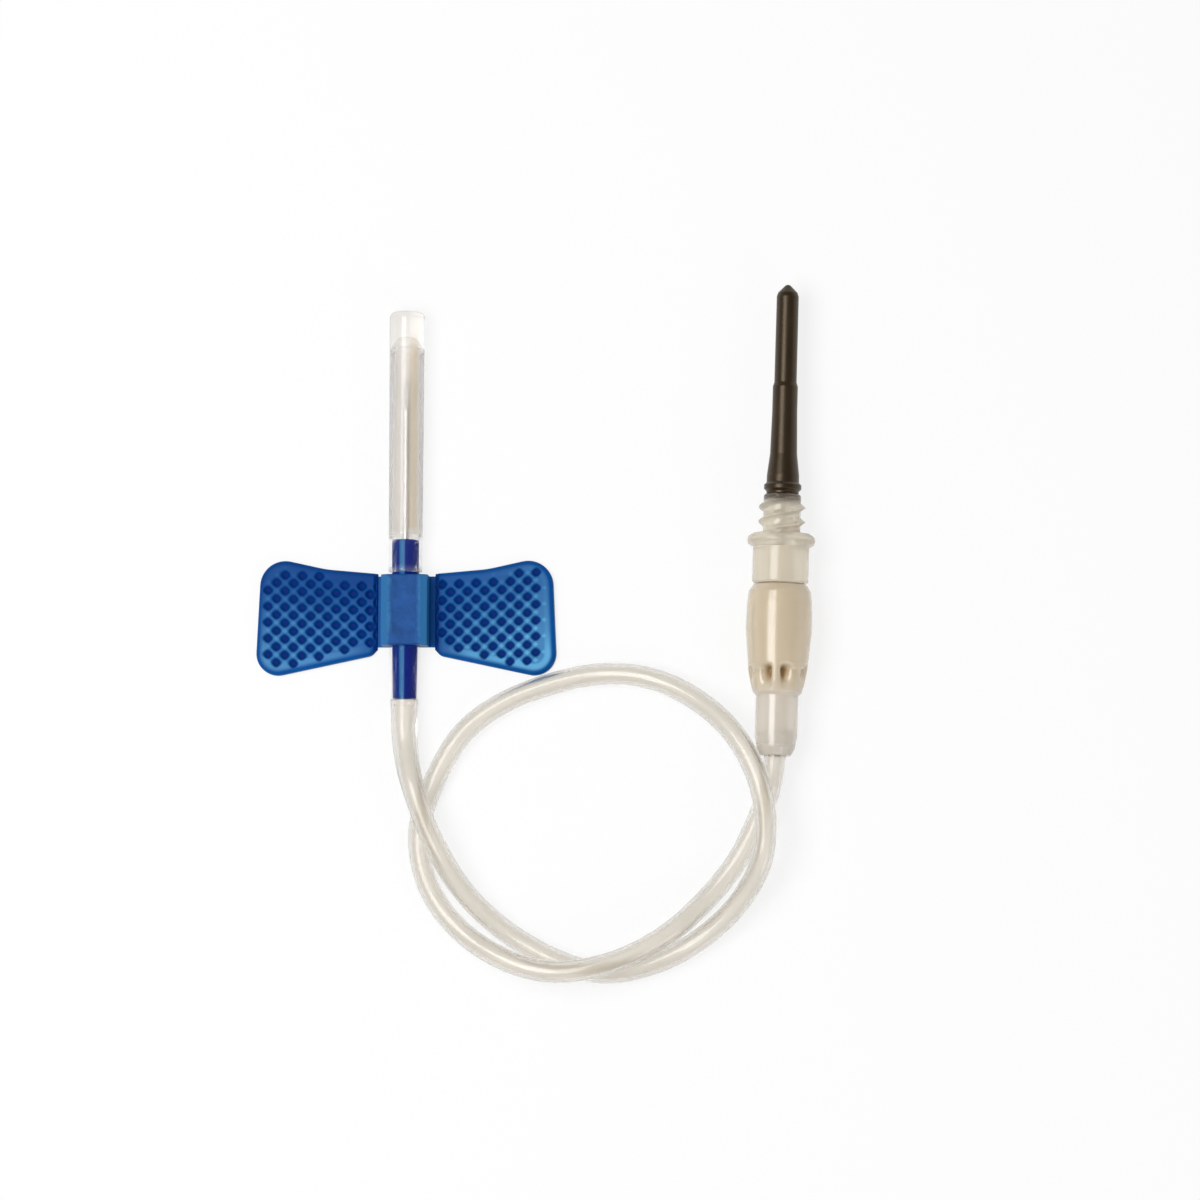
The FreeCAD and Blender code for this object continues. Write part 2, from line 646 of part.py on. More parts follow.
def make_female_luer():
    mouth = -(size("flange_thickness") + size("body_length") + size("luer_seam"))
    end = mouth - size("socket_end")
    cone_end = mouth - size("cone_end_depth")
    socket_radius = size("socket_od") / 2
    tube_radius = size("tube_od") / 2
    tube_seat = end + size("socket_depth")
    cavity_end = mouth - size("cavity_depth")
    fit = size("luer_fit")
    mouth_radius = cone_radius(size("cone_length") - size("luer_seam")) + fit
    floor_radius = cone_radius(size("cone_length") - size("luer_seam") - size("cavity_depth")) + fit
    barrel = turned_body("luer_barrel", [
        (mouth, mouth_radius),
        (mouth, size("mouth_od") / 2),
        arc_corner((mouth, size("mouth_od") / 2), (mouth - size("shoulder_depth"), size("shoulder_od") / 2),
                   SHALLOW),
        (mouth - size("waist_depth"), size("waist_od") / 2,
         mouth - size("belly_depth"), size("belly_od") / 2),
        (cone_end, size("cone_end_od") / 2),
        (cone_end - size("cone_foot"), socket_radius),
        (end + size("socket_round"), socket_radius),
        arc_corner((end + size("socket_round"), socket_radius), (end, size("socket_lip") / 2), SHALLOW),
        (end, tube_radius),
        (tube_seat, tube_radius),
        (tube_seat, size("neck_bore") / 2),
        (cavity_end, size("neck_bore") / 2),
        (cavity_end, floor_radius),
    ])
    on_luer_axis(barrel)
    # Four windows between the longitudinal ribs of the cone
    ring = doc.addObject("Part::Cylinder", "window_ring")
    core = doc.addObject("Part::Cylinder", "window_core")
    window_length = size("window_end") - size("window_start")
    for cylinder, diameter in ((ring, size("belly_od")), (core, size("rib_core_od"))):
        bind(cylinder, "Radius", diameter / 2)
        bind(cylinder, "Height", window_length)
        cylinder.Placement.Rotation = FreeCAD.Rotation(Vector(1, 0, 0), -90)
        bind(cylinder, "Placement.Base.y", mouth - size("window_end"))
    cross = []
    for label, along_x in (("rib_pair_level", True), ("rib_pair_upright", False)):
        bar = doc.addObject("Part::Box", label)
        long_side, thin_side = size("belly_od") + size("rib_thickness"), size("rib_thickness")
        wide, tall = (long_side, thin_side) if along_x else (thin_side, long_side)
        bind(bar, "Length", wide)
        bind(bar, "Width", window_length)
        bind(bar, "Height", tall)
        bind(bar, "Placement.Base.x", -wide / 2)
        bind(bar, "Placement.Base.y", mouth - size("window_end"))
        bind(bar, "Placement.Base.z", -tall / 2)
        cross.append(bar)
    doc.recompute()
    kept = boolean("Part::MultiFuse", "window_kept", core, cross)
    windows = boolean("Part::Cut", "luer_windows", ring, [kept])
    on_luer_axis(windows)
    doc.recompute()
    return boolean("Part::Cut", "female_luer", barrel, [windows])


# Tubing: straight runs and tangent arcs, flared over the spigot and seated in the luer's socket
def luer_point(along):
    turn = math.radians(size("luer_turn").number)
    return Vector(size("luer_x").number + along * math.sin(turn),
                  size("luer_y").number + along * math.cos(turn), flange_radius().number)


def tube_route():
    end = -(size("flange_thickness").number + size("body_length").number + size("luer_seam").number
            + size("socket_end").number)
    start = Vector(0, -size("spigot_end").number, size("hub_height").number)
    middle = [Vector(*spot) for spot in ROUTE]
    return [start] + middle + [luer_point(end - SOCKET_EXIT), luer_point(end + size("socket_depth").number)]


def rounded_path(points, first):
    """Straight runs joined by tangent arcs, starting at a point on the first run."""
    edges = []
    radii = []
    at = first
    for before, corner, after in zip(points, points[1:], points[2:]):
        towards = before - corner
        away = after - corner
        reach = ARC_SHARE * min(towards.Length, away.Length)
        towards = towards.normalize()
        away = away.normalize()
        half_turn = (math.pi - towards.getAngle(away)) / 2
        radius = reach / math.tan(half_turn)
        radii.append(radius)
        start = corner + towards * reach
        stop = corner + away * reach
        middle = corner + (towards + away).normalize() * (radius / math.cos(half_turn) - radius)
        edges.append(Part.LineSegment(at, start).toShape())
        edges.append(Part.Arc(start, middle, stop).toShape())
        at = stop
    edges.append(Part.LineSegment(at, points[-1]).toShape())
    return Part.Wire(edges), radii


def make_tubing():
    points = tube_route()
    flare_end = size("spigot_end") + size("flare_run")
    first = Vector(0, -flare_end.number, size("hub_height").number)
    wire, radii = rounded_path(points, first)
    route = doc.addObject("Part::Feature", "tube_route")
    route.Shape = wire
    pipes = []
    for label, diameter in (("tube_outside", size("tube_od")), ("tube_lumen", size("tube_bore"))):
        ring = doc.addObject("Part::Circle", label + "_ring")
        bind(ring, "Radius", diameter / 2)
        ring.Placement = FreeCAD.Placement(first, FreeCAD.Rotation(Vector(1, 0, 0), 90))
        pipe = doc.addObject("Part::Sweep", label)
        pipe.Sections = [ring]
        pipe.Spine = (route, ["Edge%d" % (number + 1) for number in range(len(wire.Edges))])
        pipe.Solid = True
        pipe.Transition = "Transformed"
        doc.recompute()
        pipes.append(pipe)
    hollow = boolean("Part::Cut", "tube_run", pipes[0], [pipes[1]])
    print("tubing: path %.1f mm, least radius %.1f mm" % (wire.Length, min(radii)))
    section = math.pi * (size("tube_od").number ** 2 - size("tube_bore").number ** 2) / 4
    print("tubing volume %.2f, section times length %.2f" % (hollow.Shape.Volume, section * wire.Length))

    wall = size("flare_wall")
    root_radius = size("spigot_root_od") / 2
    tip_radius = size("spigot_tip_od") / 2
    spigot_end = -size("spigot_end")
    lead = size("spigot_chamfer")
    flare = turned_body("tube_flare", [
        (-size("saddle_rear"), root_radius),
        (-size("saddle_rear"), root_radius + wall),
        (spigot_end, tip_radius + wall - size("flare_thinning")),
        (-flare_end, size("tube_od") / 2),
        (-flare_end, size("tube_bore") / 2),
        (spigot_end + lead, tip_radius),
    ])
    on_hub_axis(flare)
    doc.recompute()
    return boolean("Part::MultiFuse", "tubing", flare, [hollow])


hub = make_hub()
needle = make_needle()
sheath = make_sheath()
saddle = make_saddle()
right_wing = make_right_wing()
left_wing = make_left_wing(right_wing)
adapter = make_adapter()
holder_needle = make_holder_needle()
sleeve = make_sleeve()
female_luer = make_female_luer()
tubing = make_tubing()
doc.recompute()

# Every object has to be sound before anything is written
faults = [thing.Name for thing in doc.Objects if "Invalid" in thing.State or "Error" in thing.State]
if faults:
    raise RuntimeError("objects failed: " + ", ".join(faults))
pieces = [hub, needle, sheath, saddle, right_wing, left_wing, adapter, holder_needle, sleeve,
          female_luer, tubing]
for piece in pieces:
    if piece.Shape.isNull() or not piece.Shape.isValid() or len(piece.Shape.Solids) != 1:
        raise RuntimeError("bad shape: %s" % piece.Label)
for piece in pieces:
    piece.Shape.exportStep("parts/%s.step" % piece.Label)
    box = piece.Shape.BoundBox
    print("%-16s volume %8.2f  x %7.2f %7.2f  y %7.2f %7.2f  z %6.2f %6.2f" % (
        piece.Label, piece.Shape.Volume, box.XMin, box.XMax, box.YMin, box.YMax, box.ZMin, box.ZMax))
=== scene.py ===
"""Looks of the butterfly needle: a winged blood-collection set lying on a white table.

Every new piece is worked out in millimetres as an array of points, in the frame of the solid model, and
put into its mesh in metres. Turned pieces are sections carried round the needle's or the luer's axis. The
two needles and the saddle keep the solid model's own meshes and only get materials here.
"""

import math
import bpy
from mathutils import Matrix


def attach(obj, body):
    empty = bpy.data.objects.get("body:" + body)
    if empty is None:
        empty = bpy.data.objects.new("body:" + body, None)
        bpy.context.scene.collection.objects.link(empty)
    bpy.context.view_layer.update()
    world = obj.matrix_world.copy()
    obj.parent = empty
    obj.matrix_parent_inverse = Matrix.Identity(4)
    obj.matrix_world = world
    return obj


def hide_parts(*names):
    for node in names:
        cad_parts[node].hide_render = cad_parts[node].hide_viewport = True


bl_info = {
    "name": "Butterfly needle",
    "version": (1, 0, 0),
    "blender": (4, 5, 0),
    "location": "3D View > Sidebar > Butterfly Needle",
    "description": "Builds the winged needle set, its tubing and its luer end on the solid model",
    "category": "Object",
}

import bmesh
import bpy
import numpy as np
from bpy.props import FloatProperty, FloatVectorProperty, IntProperty, PointerProperty
from mathutils import Matrix, Vector

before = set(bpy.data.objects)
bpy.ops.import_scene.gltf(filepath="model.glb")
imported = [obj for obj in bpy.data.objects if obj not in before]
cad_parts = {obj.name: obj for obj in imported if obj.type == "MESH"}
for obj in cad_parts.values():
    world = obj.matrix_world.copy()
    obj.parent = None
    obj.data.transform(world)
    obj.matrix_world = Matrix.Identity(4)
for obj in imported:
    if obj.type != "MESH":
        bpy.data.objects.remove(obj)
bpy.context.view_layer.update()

MM = 0.001
TAU = 2 * math.pi

# Route of the tubing in mm: its end on the saddle, then the solid model's own points
TUBE_ROUTE = [
    (0.0, -4.5, 2.1), (0.0, -10.9, 2.1), (0.0, -16.0, 2.1), (1.2, -21.6, 4.4), (4.0, -28.7, 4.4),
    (7.4, -34.1, 2.9), (12.0, -38.3, 1.4), (17.5, -41.5, 1.3), (23.4, -43.4, 1.3), (29.6, -42.2, 1.3),
    (34.9, -39.5, 1.4), (39.8, -35.3, 3.0), (43.3, -29.5, 5.9), (43.0, -21.9, 6.3), (39.7, -15.2, 5.1),
    (34.7, -10.7, 2.9), (29.0, -8.0, 1.5), (22.7, -7.6, 1.3), (16.6, -9.05, 1.3), (11.2, -11.2, 1.3),
    (6.6, -14.6, 1.3), (3.6, -20.0, 1.3), (1.4, -26.2, 1.3), (2.5, -32.8, 1.3), (6.4, -38.2, 1.6),
    (12.3, -42.0, 3.3), (18.3, -43.5, 4.4), (25.3, -42.2, 4.4), (31.2, -39.0, 3.0), (35.8, -34.6, 1.5),
    (39.6, -29.9, 1.3), (42.0, -24.9, 2.1), (44.043, -20.163, 4.03), (44.163, -14.664, 4.03),
]

# Distances in mm from the set's middle to the hinge lines and to the wings' root edges, which reach in
# past them
HINGE_LINE = 3.45
WING_ROOT = 3.41


# Settings a user would change
def length(name, description, default):
    return FloatProperty(name=name, description=description, default=default, min=0.0)


def paint(name, description, default):
    return FloatVectorProperty(name=name, description=description, default=default, size=3,
                               subtype="COLOR", min=0.0, max=1.0)


class NeedleSetSizes(bpy.types.PropertyGroup):
    """Sizes in mm that the pieces share."""
    hub_height: length("Hub height", "Height of the needle's axis over the table", 2.1)
    hub_radius: length("Hub radius", "Outside of the hub's nose", 1.6)
    nose_front: length("Nose front", "Front end of the hub's nose along the axis", 8.1)
    luer_x: length("Luer axis", "Place of the flange's front face across the set", 44.67)
    luer_y: length("Flange front", "Place of the flange's front face along the set", 8.57)
    luer_height: length("Luer height", "Height of the luer's axis over the table", 4.03)
    luer_turn: FloatProperty(name="Luer turn", subtype="ANGLE", default=math.radians(1.25),
                             description="Turn of the luer's axis, clockwise from above")
    tube_radius: length("Tube radius", "Outside of the tubing", 1.3)
    lumen_radius: length("Lumen radius", "Inside of the tubing", 0.85)
    wing_thickness: length("Wing thickness", "Height of the wings' rims", 1.1)
    pit_depth: length("Pit depth", "Depth of the pits between the wings' ribs", 0.45)
    round_steps: IntProperty(name="Round steps", description="Points round a turned piece",
                             default=160, min=32)


class NeedleSetColours(bpy.types.PropertyGroup):
    """Colours of the materials, as linear light."""
    sheath: paint("Sheath", "Milky clear sheath", (0.98, 0.95, 0.91))
    # This colour is a painted shade along the right of the sheath's top
    sheath_painted_shade: paint("Sheath strip", "Deeper tone along the right of the sheath", (0.78, 0.67, 0.51))
    # This colour is a painted line of shade along the sheath's outline
    sheath_painted_rim: paint("Sheath rim", "Grey line where the sheath's wall turns away", (0.62, 0.62, 0.63))
    hub: paint("Hub", "Blue hub tube", (0.0, 0.012, 0.20))
    # This colour is a painted highlight on the hub's left side
    painted_highlight: paint("Lit hub", "Light that the clear blue of the hub carries on its left", (0.006, 0.12, 0.32))
    wing: paint("Wings", "Blue vinyl of the wings", (0.001, 0.090, 0.35))
    # This colour is a painted sheen along the wings' margin and on the crossings of their ribs
    painted_sheen: paint("Pale vinyl", "Thin or worn places of the wings", (0.095, 0.37, 0.65))
    saddle: paint("Saddle", "Blue vinyl on top of the saddle", (0.012, 0.095, 0.35))
    # This colour is partly a painted sheen along the saddle's sloping sides and partly the thinner
    # vinyl's own paler tone
    painted_shoulder_sheen: paint("Shoulders", "Blue vinyl along the saddle's two sides", (0.030, 0.16, 0.38))
    # This colour is painted shade down in the wings' pits, by the hinges and towards the wings' front
    pits: paint("Pits", "Depth of the wings' pits and of the hinges' grooves", (0.0, 0.024, 0.18))
    tube: paint("Tubing", "Clear soft tubing", (0.96, 0.93, 0.875))
    luer: paint("Luer", "Milky luer connector", (0.90, 0.77, 0.57))
    pocket: paint("Luer pockets", "Shade between the luer's ribs", (0.36, 0.21, 0.08))
    socket: paint("Luer socket", "Thin end of the luer round the tube", (0.88, 0.81, 0.71))
    adapter: paint("Adapter", "Milky holder adapter", (0.93, 0.85, 0.71))
    boss_end: paint("Boss end", "Shade of the sleeve's foot through the boss", (0.16, 0.13, 0.10))
    rubber: paint("Rubber", "Dark rubber sleeve", (0.017, 0.010, 0.004))
    steel: paint("Steel", "Drawn steel needles", (0.62, 0.62, 0.63))
    table: paint("Table", "Pale table top", (0.92, 0.92, 0.92))


class NeedleSetStage(bpy.types.PropertyGroup):
    """Camera and light."""
    tilt: FloatProperty(name="Tilt", description="Lean of the camera from straight above",
                        default=math.radians(5.0), subtype="ANGLE")
    swing: FloatProperty(name="Swing", description="Lean of the camera to the right",
                         default=math.radians(5.0), subtype="ANGLE")
    distance: length("Distance", "Distance of the camera in mm", 1500.0)
    width: length("View width", "Width of the view at the set in mm", 141.6)
    roll: FloatProperty(name="Roll", description="Turn of the camera about its view",
                        default=math.radians(0.35), subtype="ANGLE")
    key: FloatProperty(name="Key light", description="Power of the key light in watts", default=1.4,
                       unit="POWER")
    fill: FloatProperty(name="Fill light", description="Power of the fill light in watts", default=0.25,
                        unit="POWER")
    surround: FloatProperty(name="Surround", description="Strength of the light from all round",
                            default=0.36)


def sizes():
    return bpy.context.scene.needle_set_sizes


def colours():
    return bpy.context.scene.needle_set_colours


# Surfaces
def put_mesh(name, points, faces, attributes=None, smooth=True):
    """Make an object of points in mm and faces, with its normals turned outwards."""
    mesh = bpy.data.meshes.new(name)
    mesh.from_pydata(np.asarray(points) * MM, [], faces)
    for label, values in (attributes or {}).items():
        layer = mesh.attributes.new(label, "FLOAT", "POINT")
        layer.data.foreach_set("value", np.asarray(values, dtype=np.float32).ravel())
    work = bmesh.new()
    work.from_mesh(mesh)
    bmesh.ops.remove_doubles(work, verts=work.verts, dist=1e-7)
    bmesh.ops.recalc_face_normals(work, faces=work.faces)
    work.to_mesh(mesh)
    work.free()
    if smooth:
        mesh.shade_smooth()
    else:
        mesh.shade_flat()
    piece = bpy.data.objects.new(name, mesh)
    bpy.context.scene.collection.objects.link(piece)
    return piece


def grid_faces(rows, columns, wrap_rows=False, wrap_columns=False):
    """Four-sided faces of a grid of rows times columns points, closed either way round on request."""
    row = np.arange(rows if wrap_rows else rows - 1)
    column = np.arange(columns if wrap_columns else columns - 1)
    row, column = np.meshgrid(row, column, indexing="ij")
    after_row = (row + 1) % rows
    after_column = (column + 1) % columns
    corners = [row * columns + column, row * columns + after_column,
               after_row * columns + after_column, after_row * columns + column]
    return np.stack(corners, axis=-1).reshape(-1, 4)


def rounded(corners, steps=7):
    """Chain of points through (along, across, radius) corners, each turned by an arc of that radius,
    smaller where its sides are short."""
    corners = np.array(corners, dtype=float)
    points = [corners[:1, :2]]
    for before, corner, after in zip(corners, corners[1:], corners[2:]):
        back, ahead = before[:2] - corner[:2], after[:2] - corner[:2]
        reach = 0.49 * min(np.linalg.norm(back), np.linalg.norm(ahead))
        back, ahead = back / np.linalg.norm(back), ahead / np.linalg.norm(ahead)
        half = 0.5 * math.acos(np.clip(back @ ahead, -1, 1))
        radius = min(corner[2], reach * math.tan(half))
        if radius < 1e-4 or half > math.pi / 2 - 1e-3:
            points.append(corner[None, :2])
            continue
        middle = (back + ahead) / np.linalg.norm(back + ahead)
        across = np.array([-middle[1], middle[0]])
        across = across * np.sign(across @ back)
        turn = np.linspace(math.pi / 2 - half, half - math.pi / 2, steps)[:, None]
        centre = corner[:2] + middle * radius / math.sin(half)
        points.append(centre - middle * radius * np.cos(turn) + across * radius * np.sin(turn))
    points.append(corners[-1:, :2])
    return np.concatenate(points)


def refine(section, step):
    """Put more points on the long sides of a section, no further apart than the step."""
    refined = [section[:1]]
    for start, stop in zip(section, section[1:]):
        count = max(1, int(math.ceil(np.linalg.norm(stop - start) / step)))
        t = np.linspace(0, 1, count + 1)[1:, None]
        refined.append(start + (stop - start) * t)
    return np.concatenate(refined)


def hub_axis():
    """Origin, direction, side and up of the needle's axis."""
    return (np.array([0, 0, sizes().hub_height]), np.array([0, 1, 0]), np.array([1, 0, 0]),
            np.array([0, 0, 1]))


def luer_axis():
    """Origin, direction, side and up of the luer's axis: the origin is the flange's front face."""
    turn = sizes().luer_turn
    return (np.array([sizes().luer_x, sizes().luer_y, sizes().luer_height]),
            np.array([math.sin(turn), math.cos(turn), 0]),
            np.array([math.cos(turn), -math.sin(turn), 0]), np.array([0, 0, 1]))


def turned(name, axis, section, shape=None, closed=True, marks=None):
    """Carry a section of (along, radius) points round an axis. shape(along, angle, radius) may change
    the radius from place to place, and each of the marks is a function of the same three that gives
    a value for the material. A closed section makes a ring; an open one ends on the axis."""
    origin, forward, side, up = axis
    count = sizes().round_steps
    angle = np.linspace(0, TAU, count, endpoint=False)[None, :]
    along = section[:, 0][:, None] + 0 * angle
    radius = section[:, 1][:, None] + 0 * angle
    angle = angle + 0 * along
    values = {label: mark(along, angle, radius) + 0 * along for label, mark in (marks or {}).items()}
    if shape is not None:
        radius = shape(along, angle, radius)
    points = (origin + along[..., None] * forward
              + (radius * np.cos(angle))[..., None] * side + (radius * np.sin(angle))[..., None] * up)
    faces = grid_faces(len(section), count, wrap_rows=closed, wrap_columns=True)
    return put_mesh(name, points.reshape(-1, 3), faces, values)


def smooth_step(edge_a, edge_b, value):
    """0 below edge_a, 1 above edge_b, and an even S between them."""
    t = np.clip((value - edge_a) / (edge_b - edge_a), 0, 1)
    return t * t * (3 - 2 * t)


# Materials
class Term:
    """A socket's value in shader maths."""

    def __init__(self, finish, socket):
        self.finish = finish
        self.socket = socket

    def __add__(self, other):
        return self.finish.maths("ADD", self, other)

    __radd__ = __add__

    def __sub__(self, other):
        return self.finish.maths("SUBTRACT", self, other)

    def __rsub__(self, other):
        return self.finish.maths("SUBTRACT", other, self)

    def __mul__(self, other):
        return self.finish.maths("MULTIPLY", self, other)

    __rmul__ = __mul__

    def clamped(self):
        return self.finish.maths("ADD", self, 0.0, clamp=True)


class Finish:
    """A material and the nodes that make it."""

    def __init__(self, name):
        self.material = bpy.data.materials.new(name)
        self.material.use_nodes = True
        self.tree = self.material.node_tree
        self.shader = self.tree.nodes["Principled BSDF"]

    def node(self, kind, settings=None, inputs=None, output=0):
        """Add a node: its settings first, then the values or links of its sockets."""
        node = self.tree.nodes.new(kind)
        for name, value in (settings or {}).items():
            setattr(node, name, value)
        for key, value in (inputs or {}).items():
            self.feed(node.inputs[key], value)
        return node if output is None else Term(self, node.outputs[output])

    def maths(self, operation, first, second=0.0, clamp=False):
        return self.node("ShaderNodeMath", {"operation": operation, "use_clamp": clamp},
                         {0: first, 1: second})

    def feed(self, socket, value):
        if isinstance(value, Term):
            self.tree.links.new(value.socket, socket)
        else:
            socket.default_value = value

    def set(self, **values):
        """Set the main shader's sockets, with _ for the spaces of their names."""
        for name, value in values.items():
            self.feed(self.shader.inputs[name.replace("_", " ")], value)

    def place(self, scale=(1, 1, 1)):
        """Object coordinates, stretched."""
        coordinates = self.node("ShaderNodeTexCoord", output="Object")
        return self.node("ShaderNodeMapping", None, {"Vector": coordinates, "Scale": scale})

    def noise(self, scale, detail=3.0, stretch=(1, 1, 1), roughness=0.5):
        return self.node("ShaderNodeTexNoise", None,
                         {"Vector": self.place(stretch), "Scale": scale, "Detail": detail,
                          "Roughness": roughness})

    def own(self, attribute):
        """A value that the piece's own mesh carries."""
        return self.node("ShaderNodeAttribute", {"attribute_name": attribute}, output="Fac")

    def mix(self, share, first, second):
        """Two colours mixed: the Mix node's colour inputs are 6 and 7, and its colour output is 2."""
        return self.node("ShaderNodeMix", {"data_type": "RGBA"},
                         {"Factor": share, 6: first, 7: second}, output=2)

    def bump(self, height, distance, strength):
        return self.node("ShaderNodeBump", None,
                         {"Height": height, "Distance": distance, "Strength": strength})


def opaque(colour):
    return (colour[0], colour[1], colour[2], 1.0)


def shade(colour, factor):
    return (colour[0] * factor, colour[1] * factor, colour[2] * factor, 1.0)


def clear_plastic(name, colour, clearness, roughness, ior, zones=None, thin=False, coat=0.0):
    """Clear or milky plastic, a little uneven in tone, rougher inside than outside, with a faint flow
    pattern in its surface. Each zone is a mark on the piece's mesh and the colour that it brings. A
    thin piece carries a mark for where its wall hardly shows, as over the hub. The coat is a gloss on
    top."""
    finish = Finish(name)
    coat_roughness = 0.16
    cloud = finish.noise(180.0, 3.0)
    flow = finish.noise(900.0, 2.0, stretch=(1, 0.15, 1))
    tone = finish.mix(cloud, opaque(colour), shade(colour, 0.92))
    for mark, zone_colour in (zones or {}).items():
        tone = finish.mix(finish.own(mark), tone, opaque(zone_colour))
    finish.set(Base_Color=tone, IOR=ior,
               Roughness=roughness + 0.06 * cloud + 0.22 * finish.own("inside"),
               Transmission_Weight=clearness, Coat_Weight=coat, Coat_Roughness=coat_roughness,
               Normal=finish.bump(flow, 0.00001, 0.4))
    if thin:
        finish.set(Alpha=1 - 0.93 * finish.own("thin"))
    return finish.material


def dress(piece, material, body, node):
    """Give a piece its material and the body that carries it, and hide the solid it stands for."""
    piece.data.materials.append(material)
    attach(piece, body)
    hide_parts(node)


def repaint(solid, material):
    """Give a solid of the model a material of its own."""
    solid.data.materials.clear()
    solid.data.materials.append(material)


# Pieces
class NEEDLESET_OT_needles(bpy.types.Operator):
    """Finish the two steel needles"""
    bl_idname = "needle_set.needles"
    bl_label = "Steel needles"

    def execute(self, context):
        steel = Finish("drawn_steel")
        grain = steel.noise(4000.0, 2.0, stretch=(1, 0.03, 1))
        steel.set(Base_Color=steel.mix(grain, opaque(colours().steel), shade(colours().steel, 0.8)),
                  Metallic=1.0, Roughness=0.22 + 0.12 * grain)
        for node in ("needle_cannula", "holder_cannula"):
            repaint(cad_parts[node], steel.material)
        return {"FINISHED"}


class NEEDLESET_OT_hub(bpy.types.Operator):
    """Build the blue hub tube and finish its saddle"""
    bl_idname = "needle_set.hub"
    bl_label = "Hub and saddle"

    def execute(self, context):
        front, radius = sizes().nose_front, sizes().hub_radius
        needle, bore, needle_rear = 0.42, 0.6, front - 7.5
        spigot_root, spigot_end = -4.6, -10.9
        section = rounded([
            (front - 3.0, needle, 0), (front - 0.35, needle, 0.2), (front, 0.75, 0.1),
            (front, radius, 0.3), (spigot_root, radius, 0.05), (spigot_root, 1.52, 0.03),
            (spigot_end, 1.4, 0.35), (spigot_end, bore, 0.1), (needle_rear, bore, 0.05),
            (needle_rear, needle, 0),
        ])

        def painted_highlight(along, angle, radius):
            """A painted highlight: a bright streak left of the top, over a faint painted glow on the left
            side. The degrees count from the right side over the top."""
            across = np.degrees(angle)
            streak = smooth_step(84, 92, across) * smooth_step(116, 106, across)
            glow = 0.08 * smooth_step(104, 125, across) * smooth_step(200, 175, across)
            return np.maximum(streak, glow)

        hub = turned("hub_tube", hub_axis(), refine(section, 0.5), marks={"painted_highlight": painted_highlight})
        plastic = Finish("hub_plastic")
        cloud = plastic.noise(250.0)
        tone = plastic.mix(cloud, opaque(colours().hub), shade(colours().hub, 0.75))
        # Painted highlight on the hub's left, mixed into its blue
        plastic.set(Base_Color=plastic.mix(plastic.own("painted_highlight"), tone, opaque(colours().painted_highlight)),
                    Roughness=0.24 + 0.08 * cloud, IOR=1.5, Specular_IOR_Level=0.08)
        dress(hub, plastic.material, "hub", "wing_hub")
        repaint(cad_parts["wing_saddle"], saddle_finish())
        return {"FINISHED"}


def saddle_finish():
    """The saddle's vinyl: a rich blue on its flat top, and paler along both shoulders with a mottled
    border, partly its own tone and partly a painted sheen. Down in the grooves of the hinges it takes
    the wings' blue. Its places are in metres, and a tone changes over 1 / edge of a metre."""
    groove_top, groove_edge = 0.0012, 3000
    top_half, mottling, shoulder_edge = 0.0018, 0.0006, 2200
    vinyl = Finish("saddle_vinyl")
    parts = vinyl.node("ShaderNodeSeparateXYZ", None, {0: vinyl.place()}, output=None)
    across, height = (Term(vinyl, parts.outputs[axis]) for axis in ("X", "Z"))
    off_centre = vinyl.maths("ABSOLUTE", across)
    groove = ((groove_top - height) * groove_edge).clamped()
    cloud = ((vinyl.noise(450.0, 5.0, roughness=0.7) - 0.3) * 2.5).clamped()
    # Painted sheen along both shoulders, partly the thinner vinyl's own paler tone
    painted_shoulder_sheen = ((off_centre - top_half + mottling * cloud) * shoulder_edge).clamped()
    top = vinyl.mix(cloud, opaque(colours().saddle), shade(colours().saddle, 0.55))
    base = vinyl.mix(painted_shoulder_sheen, top, opaque(colours().painted_shoulder_sheen))
    base = vinyl.mix(groove, base, opaque(colours().wing))
    vinyl.set(Base_Color=base, Roughness=0.42 + 0.06 * cloud, IOR=1.5, Specular_IOR_Level=0.1,
              Normal=vinyl.bump(vinyl.noise(5000.0, 2.0), 0.000015, 0.5))
    return vinyl.material


def wing_finish():
    """The wings' vinyl: satin, finely grained, with a painted sheen on the crossings and along the
    margin, and painted shade down in the pits, by the hinges and towards the front."""
    vinyl = Finish("wing_vinyl")
    cloud = vinyl.noise(260.0, 4.0)
    base = vinyl.mix(cloud, opaque(colours().wing), shade(colours().wing, 0.7))
    # Painted sheen along the margin and on the crossings of the ribs
    base = vinyl.mix(vinyl.own("painted_sheen") * (1.35 - 0.5 * cloud), base, opaque(colours().painted_sheen))
    # The pit mark carries painted shade down in the pits, by the hinges and towards the front, and makes
    # those places rougher
    pit = vinyl.own("pit")
    base = vinyl.mix(pit, base, opaque(colours().pits))
    vinyl.set(Base_Color=base, Roughness=0.28 + 0.1 * cloud + 0.4 * pit, IOR=1.5, Specular_IOR_Level=0.1,
              Normal=vinyl.bump(vinyl.noise(5000.0, 2.0), 0.000015, 0.5))
    return vinyl.material


def wing_sides():
    """The right wing's rear, front and tip sides as chains of points. The tip's two arcs are shared
    out at their middles."""
    corners = [(WING_ROOT, -4.8, 0.0), (4.1, -5.55, 1.2), (17.98, -8.5, 2.6), (17.25, 6.45, 3.0),
               (9.6, 4.75, 14.0), (WING_ROOT, 4.2, 0.0)]
    outline = refine(rounded(corners, 15), 0.25)
    far_rear = np.argmax(outline[:, 0] - outline[:, 1])
    far_front = np.argmax(outline[:, 0] + 1.2 * outline[:, 1])
    return (outline[:far_rear + 1], outline[far_front:][::-1], outline[far_rear:far_front + 1])


def evenly(line, share):
    """Points of a line at shares of its length."""
    at = np.concatenate([[0], np.cumsum(np.linalg.norm(np.diff(line, axis=0), axis=1))])
    return np.stack([np.interp(share * at[-1], at, line[:, k]) for k in range(line.shape[1])], axis=-1)


